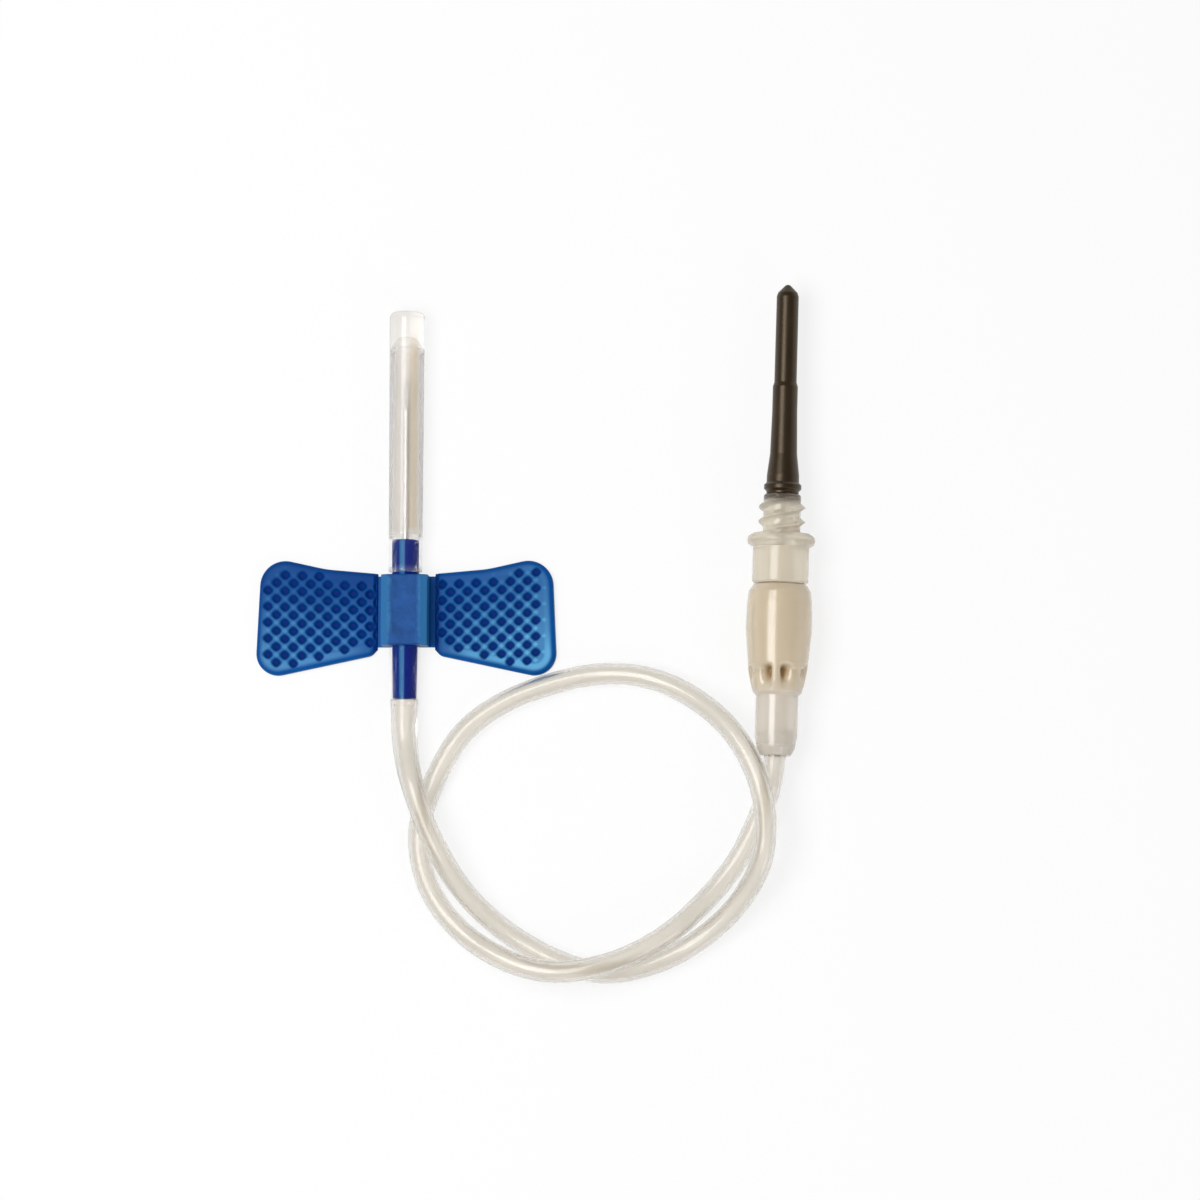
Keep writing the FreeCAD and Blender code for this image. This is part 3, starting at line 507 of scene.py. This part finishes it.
def edge_distance(line, places):
    """Distance of each place from a line of points."""
    nearest = np.full(places.shape[:-1], np.inf)
    for start, stop in zip(line, line[1:]):
        step = stop - start
        t = np.clip((places - start) @ step / (step @ step), 0, 1)
        nearest = np.minimum(nearest, np.linalg.norm(places - start - t[..., None] * step, axis=-1))
    return nearest


def crowded(count, share):
    """Numbers from 0 to 1 that crowd towards both ends."""
    t = np.linspace(0, 1, count)
    return (1 - share) * t + share * (0.5 - 0.5 * np.cos(math.pi * t))


def wing_places():
    """Grid of places on the right wing: a patch stretched between its root, rear, front and tip, with
    one more row close to the root for its foot."""
    outward, lengthwise, crowding, foot_row = 229, 200, 0.3, 0.0026
    rear, front, tip = wing_sides()
    u = np.insert(crowded(outward, crowding), 1, foot_row)
    v = crowded(lengthwise, crowding)
    rear, front, tip = evenly(rear, u), evenly(front, u), evenly(tip, v)
    root = evenly(np.array([rear[0], front[0]]), v)
    u, v = u[:, None, None], v[None, :, None]
    ruled = (1 - v) * rear[:, None] + v * front[:, None] + (1 - u) * root[None] + u * tip[None]
    return ruled - ((1 - u) * (1 - v) * rear[0] + (1 - u) * v * front[0]
                    + u * (1 - v) * tip[0] + u * v * tip[-1])


def wing_height(places, to_edge, level):
    """Height of a wing's top before its pits, each place's distance to the middle of its pit, its
    nearness to a crossing of two ribs, and the middle of its pit. The plate is a little arched from
    front to rear and its rim is a wide round. The root's foot reaches in under the hinge line to close
    the gap to the web, and only its top stands back. The ribs run on both diagonals, and the level is
    where the lattice sits from front to rear."""
    rim, rim_drop = 0.55, 0.42
    arch, arch_middle = 0.0035, -0.8
    root_drop, root_width = 0.3, 0.5
    foot_height, foot_slope, hair = 0.44, 0.8, 0.0005
    x, y = places[..., 0], places[..., 1]
    slope = 1 - np.clip(to_edge, 0, rim) / rim
    height = sizes().wing_thickness - rim_drop * (1 - np.sqrt(np.maximum(1 - slope ** 2, 0)))
    height = height - arch * (y - arch_middle) ** 2
    height = height - root_drop * smooth_step(HINGE_LINE + root_width, HINGE_LINE, x)
    foot = np.minimum(height, foot_height + foot_slope * (x - WING_ROOT))
    height = np.where(x < HINGE_LINE - hair, foot, height)

    column, half_across, lean, half_along, squareness = 14.4, 2.03, 0.09, 1.9, 2.8
    u = (x - column) / half_across
    v = (y - level - u * lean) / half_along
    lines = [u + v, u - v]
    middles = [np.round(line) for line in lines]
    off = [np.abs(line - middle) * 2 for line, middle in zip(lines, middles)]
    to_middle = (off[0] ** squareness + off[1] ** squareness) ** (1 / squareness)
    middle_u, middle_v = (middles[0] + middles[1]) / 2, (middles[0] - middles[1]) / 2
    middle_x = column + half_across * middle_u
    middle_y = level + lean * middle_u + half_along * middle_v
    return height, to_middle, np.minimum(*off), np.stack([middle_x, middle_y], axis=-1)


def wing_pits(places, to_middle, middles, outline, reach):
    """How deep each place is in a pit, from 0 to 1. Pits stand only where their middles are far enough
    from the edge and no further out than the reach, and those beside the hinge fade out at the root."""
    margin, pit_edge, pit_floor = 0.98, 0.9, 0.36
    fade_start, fade_end = 3.42, 3.8
    whole = (edge_distance(outline, middles) > margin) & (middles[..., 0] < reach)
    fade = smooth_step(fade_start, fade_end, places[..., 0])
    return smooth_step(pit_edge, pit_floor, to_middle) * whole * fade


def wing_painted_sheen(places, to_edge, crossing, pit):
    """How strong the painted sheen is at each place, from 0 to 1: along the margin and on the crossings
    of the ribs, more towards the tip and the rear."""
    x, y = places[..., 0], places[..., 1]
    share = np.clip(0.12 + 0.64 * smooth_step(4, -6, y) + 0.4 * smooth_step(8, 17, x), 0, 1)
    share = share * smooth_step(3.6, 8.0, x) * smooth_step(0.35, 0.9, to_edge)
    lattice = 0.4 + 0.6 * smooth_step(0.5, 0.95, crossing)
    margin = smooth_step(1.7, 1.1, to_edge) * (0.5 + 0.5 * smooth_step(-2, -6, y))
    return share * np.clip(np.maximum(lattice, margin), 0, 1) * (1 - pit)


def plate_faces(rows, columns):
    """Faces of a closed plate: a grid of points on top, the same grid underneath with its faces turned
    round, and a wall along the border between them."""
    face = grid_faces(rows, columns)
    border = np.concatenate([
        np.arange(columns), np.arange(1, rows) * columns + columns - 1,
        (rows - 1) * columns + np.arange(columns - 2, -1, -1),
        np.arange(rows - 2, 0, -1) * columns])
    after = np.roll(border, -1)
    under = rows * columns
    walls = np.stack([border, after, after + under, border + under], axis=-1)
    return np.concatenate([face, face[:, ::-1] + under, walls])


class NEEDLESET_OT_wings(bpy.types.Operator):
    """Build the two latticed wings"""
    bl_idname = "needle_set.wings"
    bl_label = "Wings"

    def execute(self, context):
        places = wing_places()
        rear_side, front_side, tip_side = wing_sides()
        outline = np.concatenate([rear_side, tip_side[1:], front_side[::-1][1:]])
        to_edge = edge_distance(outline, places)
        faces = plate_faces(*places.shape[:2])
        vinyl = wing_finish()
        # Each wing's side, its painted sheen, its painted shade towards the front, its lattice's level
        # and its pits' reach
        for node, sign, highlighted, painted_front_shade, level, reach in (("right_wing", 1, 1.0, 0.15, 1.45, 15.9),
                                                     ("left_wing", -1, 0.45, 0.5, 0.26, 17.0)):
            height, to_middle, crossing, middles = wing_height(places, to_edge, level)
            pit = wing_pits(places, to_middle, middles, outline, reach)
            # Painted sheen, stronger on the right wing than on the left
            painted_sheen = highlighted * wing_painted_sheen(places, to_edge, crossing, pit)
            # Painted shade: darker by the hinge's groove, down in the pits and towards the wing's front
            groove = 0.8 * smooth_step(4.4, 3.5, places[..., 0])
            front = painted_front_shade * smooth_step(-3.0, 4.0, places[..., 1])
            painted_shade = np.maximum(pit, np.maximum(groove, front))
            height = height - sizes().pit_depth * pit
            top = np.concatenate([places, height[..., None]], axis=-1).reshape(-1, 3)
            points = np.concatenate([top, top * np.array([1, 1, 0])]) * np.array([sign, 1, 1])
            marks = {label: np.concatenate([value.ravel(), 0 * value.ravel()])
                     for label, value in (("pit", painted_shade), ("painted_sheen", painted_sheen))}
            wing = put_mesh(node + "_moulding", points, faces, marks)
            dress(wing, vinyl, node, node)
        return {"FINISHED"}


class NEEDLESET_OT_sheath(bpy.types.Operator):
    """Build the clear needle sheath"""
    bl_idname = "needle_set.sheath"
    bl_label = "Sheath"

    def execute(self, context):
        bore, wall_middle = sizes().hub_radius + 0.04, 1.8
        rear, bore_end, end, gate = 4.2, 32.2, 35.2, 35.3
        hub_front = sizes().nose_front
        past_hub = hub_front + 0.9

        def in_bore(along, radius):
            """True on the wall of the bore."""
            return (radius < wall_middle) * (along < bore_end + 0.3)

        def painted_shade_strip(along, angle, radius):
            """1 along the right of the sheath's top, over the needle, where a band of shade is painted.
            """
            side = smooth_step(math.radians(38), math.radians(52), angle)
            side = side * smooth_step(math.radians(80), math.radians(72), angle)
            return side * (radius > wall_middle) * (along > past_hub) * smooth_step(33.0, 30.8, along)

        def rim(along, angle, radius):
            """1 along both sides and round the closed end, where the wall turns away and a grey line of
            shade is painted.
            """
            side = smooth_step(0.45, 0.1, np.abs(np.sin(angle))) * (along > past_hub)
            return np.maximum(side, smooth_step(34.8, end, along)) * (radius > 0.5)

        def inside(along, angle, radius):
            """1 in the bore where it stands clear of the hub, and 2 towards its end."""
            return in_bore(along, radius) * (along > hub_front + 0.5) * (1 + smooth_step(29, 30.5, along))

        def thin(along, angle, radius):
            """1 over the hub and nearly 1 at the bore's end, where the wall hardly shows, and half at
            the rear rim."""
            over_hub = smooth_step(hub_front + 0.4, hub_front, along)
            over_hub = over_hub * (0.5 + 0.5 * smooth_step(rear + 0.1, rear + 0.5, along))
            return np.maximum(over_hub, 0.9 * smooth_step(29.4, 31.4, along) * in_bore(along, radius))

        section = rounded([
            (bore_end, 0.0, 0), (32.1, 0.7, 0.5), (30.6, 1.45, 2.0), (rear, bore, 0.1), (rear, 2.0, 0.15),
            (8.0, 2.01, 0.5), (end, 2.08, 0.8), (end, 0.4, 0.1), (gate, 0.3, 0.05), (gate, 0.0, 0),
        ], 8)
        sheath = turned("clear_sheath", hub_axis(), refine(section, 0.8), closed=False,
                        marks={"inside": inside, "painted_shade_strip": painted_shade_strip, "rim": rim, "thin": thin})
        # Painted shade: a band along the right of the top and a grey line round the outline
        zones = {"painted_shade_strip": colours().sheath_painted_shade, "rim": colours().sheath_painted_rim}
        material = clear_plastic("sheath_plastic", colours().sheath, 0.9, 0.12, 1.46, zones, thin=True)
        dress(sheath, material, "sheath", "needle_sheath")
        return {"FINISHED"}


class NEEDLESET_OT_tubing(bpy.types.Operator):
    """Lay the clear tubing along its route, flared over the hub's spigot"""
    bl_idname = "needle_set.tubing"
    bl_label = "Tubing"

    def execute(self, context):
        # Stations lie close together along the flare, and the radii go down to the plain tube's
        line = spline_points()
        step = np.linalg.norm(np.diff(line, axis=0), axis=1)
        at = np.concatenate([[0], np.cumsum(step)])
        flare, spacing = np.linspace(0, 14, 60), 0.45
        stations = np.concatenate([flare, np.arange(14.4, at[-1], spacing), [at[-1]]])
        line = np.stack([np.interp(stations, at, line[:, k]) for k in range(3)], axis=-1)
        outer = np.interp(stations, [0, 1.7, 3.6, 6.4, 11.1, 14.6, 18.2],
                          [1.85, 1.83, 1.76, 1.66, 1.53, 1.42, sizes().tube_radius])
        inner = np.interp(stations, [0, 6.2, 7.5, 9.5], [1.525, 1.41, 1.1, sizes().lumen_radius])
        points = swept(line, outer, inner)
        faces = grid_faces(*points.shape[:2], wrap_rows=True, wrap_columns=True)
        lumen = stations > 7
        over_spigot = smooth_step(6.6, 6.2, stations)
        inside = np.repeat(np.concatenate([0 * stations, lumen[::-1]]), points.shape[1])
        thin = np.repeat(np.concatenate([over_spigot, over_spigot[::-1]]), points.shape[1])
        tube = put_mesh("clear_tubing", points.reshape(-1, 3), faces, {"inside": inside, "thin": thin})
        material = clear_plastic("tube_vinyl", colours().tube, 0.95, 0.08, 1.48, thin=True)
        dress(tube, material, "hub", "tubing")
        return {"FINISHED"}


def spline_points():
    """Points in mm along the route's spline, whose control points are the route's."""
    curve = bpy.data.curves.new("tube_route", "CURVE")
    curve.dimensions = "3D"
    spline = curve.splines.new("NURBS")
    spline.points.add(len(TUBE_ROUTE) - 1)
    for point, place in zip(spline.points, TUBE_ROUTE):
        point.co = (place[0] * MM, place[1] * MM, place[2] * MM, 1)
    spline.order_u = 3
    spline.use_endpoint_u = True
    spline.resolution_u = 14
    carrier = bpy.data.objects.new("tube_route", curve)
    bpy.context.scene.collection.objects.link(carrier)
    bpy.context.view_layer.update()
    mesh = bpy.data.meshes.new_from_object(carrier)
    places = np.zeros(len(mesh.vertices) * 3)
    mesh.vertices.foreach_get("co", places)
    bpy.data.objects.remove(carrier)
    bpy.data.meshes.remove(mesh)
    return places.reshape(-1, 3) / MM


def swept(line, outer, inner, count=48):
    """Rings round a line, first with the outer radii forwards, then with the inner radii backwards.
    Each ring's side lies level, and its up leans with the line."""
    tangent = np.gradient(line, axis=0)
    tangent /= np.linalg.norm(tangent, axis=1)[:, None]
    side = np.cross(tangent, [0, 0, 1])
    side /= np.linalg.norm(side, axis=1)[:, None]
    up = np.cross(side, tangent)
    angle = np.linspace(0, TAU, count, endpoint=False)
    ring = side[:, None, :] * np.cos(angle)[None, :, None] + up[:, None, :] * np.sin(angle)[None, :, None]
    outside = line[:, None, :] + ring * outer[:, None, None]
    inside = line[:, None, :] + ring * inner[:, None, None]
    return np.concatenate([outside, inside[::-1]])


class NEEDLESET_OT_luer(bpy.types.Operator):
    """Build the ribbed female luer"""
    bl_idname = "needle_set.luer"
    bl_label = "Female luer"

    def execute(self, context):
        mouth = -6.04
        end = mouth - 20.2
        taper, bore, socket = 2.24, 0.8, 1.33
        core, rib_depth, rib_pitch = 2.1, 1.1, TAU / 4
        outside = rounded([
            (mouth, taper, 0), (mouth, 3.15, 0.25), (mouth - 0.85, 3.68, 0.5), (mouth - 2.2, 3.84, 1.0),
            (mouth - 5.2, 3.92, 2.0), (mouth - 8.6, 3.62, 1.5), (mouth - 10.2, 3.46, 0.6),
            (mouth - 11.6, 3.2, 0.5), (mouth - 12.75, 2.9, 0.3), (mouth - 13.1, 2.52, 0.2),
            (end + 2.3, 2.5, 1.2), (end + 0.9, 2.25, 0.8), (end, 1.8, 0.2), (end, socket, 0),
        ])
        inside = rounded([
            (end + 2.9, socket, 0), (end + 3.0, bore, 0.05), (mouth - 9.0, bore, 0.1),
            (mouth - 8.95, 1.99, 0.05), (mouth - 0.3, taper, 0),
        ])

        def windows(along, angle, radius):
            """Radius pressed in to the core between four ribs, over the windows' length."""
            level = mouth - along
            stretch = smooth_step(9.4, 10.2, level) * smooth_step(12.8, 10.4, level)
            nearest = np.abs((angle + rib_pitch / 2) % rib_pitch - rib_pitch / 2)
            sideways = radius * np.sin(nearest)
            between = smooth_step(0.3, 1.0, sideways) * (1 - 0.8 * smooth_step(1.1, 2.2, sideways))
            between = between * (0.3 + 0.7 * smooth_step(0.45, 0.85, np.abs(np.sin(angle))))
            return np.where(radius > 2.4, radius - (radius - core) * stretch * between, radius)

        def pocket(along, angle, radius):
            """How far down between the ribs a place is, from 0 to 1, squared."""
            return np.clip((radius - windows(along, angle, radius)) / rib_depth, 0, 1) ** 2

        section = np.concatenate([refine(outside, 0.16), refine(inside, 0.6)])
        marks = {
            "inside": lambda along, angle, radius: (radius < 2.3) & (along > end + 0.1),
            "socket": lambda along, angle, radius: smooth_step(mouth - 11.5, mouth - 13.5, along),
            "pocket": pocket,
        }
        luer = turned("ribbed_luer", luer_axis(), section, windows, marks=marks)
        zones = {"socket": colours().socket, "pocket": colours().pocket}
        material = clear_plastic("luer_plastic", colours().luer, 0.4, 0.2, 1.5, zones, coat=0.6)
        dress(luer, material, "hub", "female_luer")
        return {"FINISHED"}


class NEEDLESET_OT_adapter(bpy.types.Operator):
    """Build the threaded holder adapter"""
    bl_idname = "needle_set.adapter"
    bl_label = "Holder adapter"

    def execute(self, context):
        nipple_end, boss_end, flange_rear, body_rear, nose_end = 8.16, 4.66, -1.62, -5.92, -13.92
        needle, bore, nipple, boss, body = 0.45, 1.05, 1.25, 2.2, 3.32
        profile = rounded([
            (nipple_end, needle, 0), (nipple_end, nipple, 0.25), (boss_end, nipple, 0.05),
            (boss_end, boss, 0.3), (0, boss, 0.12), (0, 3.4, 0.5), (-0.4, 3.9, 0.35), (-0.81, 4.03, 0.3),
            (-1.25, 3.9, 0.35), (flange_rear, 3.45, 0.3), (flange_rear, body, 0.12), (-5.7, body, 0.1),
            (body_rear, 3.08, 0.05), (body_rear, 2.21, 0.05), (nose_end, 1.975, 0.15),
            (nose_end, bore, 0.1), (-1.2, bore, 0.05), (-1.2, needle, 0),
        ])

        def thread(along, angle, radius):
            """Two ridges wound right-handed round the boss, faded out at both ends."""
            start, lead = 0.5, 3.42
            half_width, height = 0.52, 0.58
            phase = (along - start + lead * angle / TAU) / (lead / 2)
            across = np.abs(phase - np.floor(phase) - 0.5) * lead / 2
            ridge = np.clip(1 - across / half_width, 0, 1) ** 1.2
            reach = smooth_step(0.25, 0.8, along) * smooth_step(4.3, 3.9, along)
            on_boss = (radius > 2.0) & (along > 0.02) & (along < boss_end - 0.02)
            return np.where(on_boss, radius + height * ridge * reach, radius)

        # The section is fine along the threaded boss and coarse on the rest
        on_boss = (profile[:, 0] > -0.01) & (profile[:, 1] > 1.9)
        last = np.nonzero(on_boss)[0][-1]
        section = np.concatenate([refine(profile[:last + 1], 0.09), refine(profile[last:], 0.6)[1:]])
        marks = {
            "inside": lambda along, angle, radius: radius < bore + 0.01,
            "boss_end": lambda along, angle, radius: smooth_step(3.1, 4.3, along),
        }
        adapter = turned("threaded_adapter", luer_axis(), section, thread, marks=marks)
        zones = {"boss_end": colours().boss_end}
        material = clear_plastic("adapter_plastic", colours().adapter, 0.5, 0.14, 1.49, zones)
        dress(adapter, material, "adapter", "luer_adapter")
        return {"FINISHED"}


class NEEDLESET_OT_sleeve(bpy.types.Operator):
    """Build the rubber sleeve of the rear needle"""
    bl_idname = "needle_set.sleeve"
    bl_label = "Rubber sleeve"

    def execute(self, context):
        foot, nipple_end, tip = 4.68, 8.2, 29.5
        bore, grip, bead = 0.8, 1.27, 2.2
        section = rounded([
            (27.9, 0.0, 0), (27.1, bore, 0.3), (nipple_end, bore, 0.1), (nipple_end, grip, 0.1),
            (foot, grip, 0), (foot, 1.9, 0.1), (5.0, 1.92, 0.2), (5.25, bead, 0.15), (5.75, bead, 0.15),
            (6.0, 1.92, 0.2), (6.9, 1.9, 0.4), (9.4, 1.6, 1.2), (14.4, 1.48, 0.5), (17.4, 1.48, 0.3),
            (17.9, 1.32, 0.3), (28.1, 1.3, 0.3), (28.55, 1.14, 0.3), (29.42, 0.28, 0.25), (tip, 0.0, 0),
        ])
        sleeve = turned("rubber_sleeve_skin", luer_axis(), refine(section, 0.5), closed=False)
        rubber = Finish("sleeve_rubber")
        warm_gloss = (1.0, 0.82, 0.62, 1.0)
        cloud = rubber.noise(300.0, 4.0)
        grain = rubber.noise(6000.0, 2.0)
        rubber.set(Base_Color=rubber.mix(cloud, opaque(colours().rubber), shade(colours().rubber, 1.8)),
                   Roughness=0.30 + 0.10 * cloud, Specular_IOR_Level=0.55,
                   Specular_Tint=warm_gloss, Normal=rubber.bump(grain, 0.00002, 0.5))
        dress(sleeve, rubber.material, "adapter", "rubber_sleeve")
        return {"FINISHED"}


class NEEDLESET_OT_stage(bpy.types.Operator):
    """Set the table, the lights, the world and the camera"""
    bl_idname = "needle_set.stage"
    bl_label = "Stage"

    def execute(self, context):
        scene = context.scene
        stage = scene.needle_set_stage
        half, level = 1200.0, -0.02
        corners = [(-half, -half, level), (half, -half, level), (half, half, level), (-half, half, level)]
        table = put_mesh("table", corners, [(0, 1, 2, 3)], smooth=False)
        table.data.materials.append(table_finish())

        camera = bpy.data.objects.new("camera", bpy.data.cameras.new("camera"))
        scene.collection.objects.link(camera)
        turn = (Matrix.Rotation(stage.swing, 3, "Y") @ Matrix.Rotation(stage.tilt, 3, "X")
                @ Matrix.Rotation(stage.roll, 3, "Z"))
        aim = Vector((23.1, 0.93, 2.1))
        place = aim + turn @ Vector((0, 0, stage.distance))
        camera.matrix_world = Matrix.Translation(place * MM) @ turn.to_4x4()
        camera.data.lens = camera.data.sensor_width * stage.distance / stage.width
        camera.data.clip_start = 0.01
        scene.camera = camera

        add_lamp("key", place=(-130.0, 0.0, 400.0), aim=(-130.0, 0.0, 0.0), extent=(240.0, 320.0),
                 power=stage.key)
        add_lamp("fill", place=(280.0, -260.0, 220.0), aim=aim, extent=(160.0, 160.0), power=stage.fill)
        set_world(scene, stage.surround)
        scene.view_settings.view_transform = "Standard"
        return {"FINISHED"}


def add_lamp(name, place, aim, extent, power):
    """Rectangular soft light at a place, turned towards its aim."""
    light = bpy.data.lights.new(name, "AREA")
    light.shape = "RECTANGLE"
    light.size, light.size_y = extent[0] * MM, extent[1] * MM
    light.energy = power
    lamp = bpy.data.objects.new(name, light)
    place, aim = Vector(place), Vector(aim)
    turn = (aim - place).to_track_quat("-Z", "Y").to_matrix().to_4x4()
    lamp.matrix_world = Matrix.Translation(place * MM) @ turn
    bpy.context.scene.collection.objects.link(lamp)


def seen_rays(finish):
    """1 for what the camera sees straight or through clear plastic, and 1 for what it sees mirrored."""
    path = finish.node("ShaderNodeLightPath", output=None)
    camera, mirror, clear = (Term(finish, path.outputs[name])
                             for name in ("Is Camera Ray", "Is Glossy Ray", "Is Transmission Ray"))
    straight = (camera + clear).clamped()
    return straight, (mirror - straight).clamped()


def table_finish():
    """Pale table that lifts to white where it is seen and still takes the set's shadow."""
    finish = Finish("table_top")
    finish.set(Base_Color=opaque(colours().table), Roughness=0.9, Specular_IOR_Level=0.1)
    glow_share = 0.8
    glow = finish.node("ShaderNodeEmission", None, {"Color": (1, 1, 1, 1), "Strength": 1.0})
    straight, mirrored = seen_rays(finish)
    surface = Term(finish, finish.shader.outputs[0])
    mixed = finish.node("ShaderNodeMixShader", None,
                        {0: (straight + mirrored) * glow_share, 1: surface, 2: glow})
    finish.tree.links.new(mixed.socket, finish.tree.nodes["Material Output"].inputs["Surface"])
    return finish.material


class WorldFinish(Finish):
    """The world's nodes, made the same way as a material's."""

    def __init__(self, world):
        self.material = world
        world.use_nodes = True
        self.tree = world.node_tree
        self.shader = self.tree.nodes["Background"]


def set_world(scene, strength):
    """Grey light all round. Where it is seen, it is white at the horizon and darker overhead, most of
    all where it is mirrored, like a white backdrop under a dim ceiling."""
    world = bpy.data.worlds.new("studio")
    scene.world = world
    finish = WorldFinish(world)
    direction = finish.node("ShaderNodeTexCoord", output="Generated")
    height = finish.node("ShaderNodeSeparateXYZ", None, {0: direction}, output="Z")
    horizon, rise = 0.05, 2.5
    seen_dimming, mirrored_dimming = 0.12, 0.85
    ceiling = ((height - horizon) * rise).clamped()
    straight, mirrored = seen_rays(finish)
    seen = straight * (1 - strength - seen_dimming * ceiling)
    reflected = mirrored * (1 - strength - mirrored_dimming * ceiling)
    finish.set(Color=(1, 1, 1, 1), Strength=strength + seen + reflected)


class NEEDLESET_PT_panel(bpy.types.Panel):
    """Sizes, colours and steps of the needle set"""
    bl_label = "Butterfly Needle"
    bl_idname = "NEEDLESET_PT_panel"
    bl_space_type = "VIEW_3D"
    bl_region_type = "UI"
    bl_category = "Butterfly Needle"

    def draw(self, context):
        for step in STEPS:
            self.layout.operator(step.bl_idname)
        for group in (context.scene.needle_set_sizes, context.scene.needle_set_colours,
                      context.scene.needle_set_stage):
            for name in group.bl_rna.properties.keys():
                if name not in ("rna_type", "name"):
                    self.layout.prop(group, name)


STEPS = (NEEDLESET_OT_stage, NEEDLESET_OT_tubing, NEEDLESET_OT_needles, NEEDLESET_OT_hub,
         NEEDLESET_OT_wings, NEEDLESET_OT_sheath, NEEDLESET_OT_luer, NEEDLESET_OT_adapter,
         NEEDLESET_OT_sleeve)
GROUPS = (NeedleSetSizes, NeedleSetColours, NeedleSetStage)


def register():
    for kind in GROUPS + STEPS + (NEEDLESET_PT_panel,):
        bpy.utils.register_class(kind)
    bpy.types.Scene.needle_set_sizes = PointerProperty(type=NeedleSetSizes)
    bpy.types.Scene.needle_set_colours = PointerProperty(type=NeedleSetColours)
    bpy.types.Scene.needle_set_stage = PointerProperty(type=NeedleSetStage)


def unregister():
    del bpy.types.Scene.needle_set_stage
    del bpy.types.Scene.needle_set_colours
    del bpy.types.Scene.needle_set_sizes
    for kind in reversed(GROUPS + STEPS + (NEEDLESET_PT_panel,)):
        bpy.utils.unregister_class(kind)


def main():
    register()
    for step in STEPS:
        family, name = step.bl_idname.split(".")
        getattr(getattr(bpy.ops, family), name)()
    bpy.context.view_layer.update()


if __name__ == "__main__":
    main()
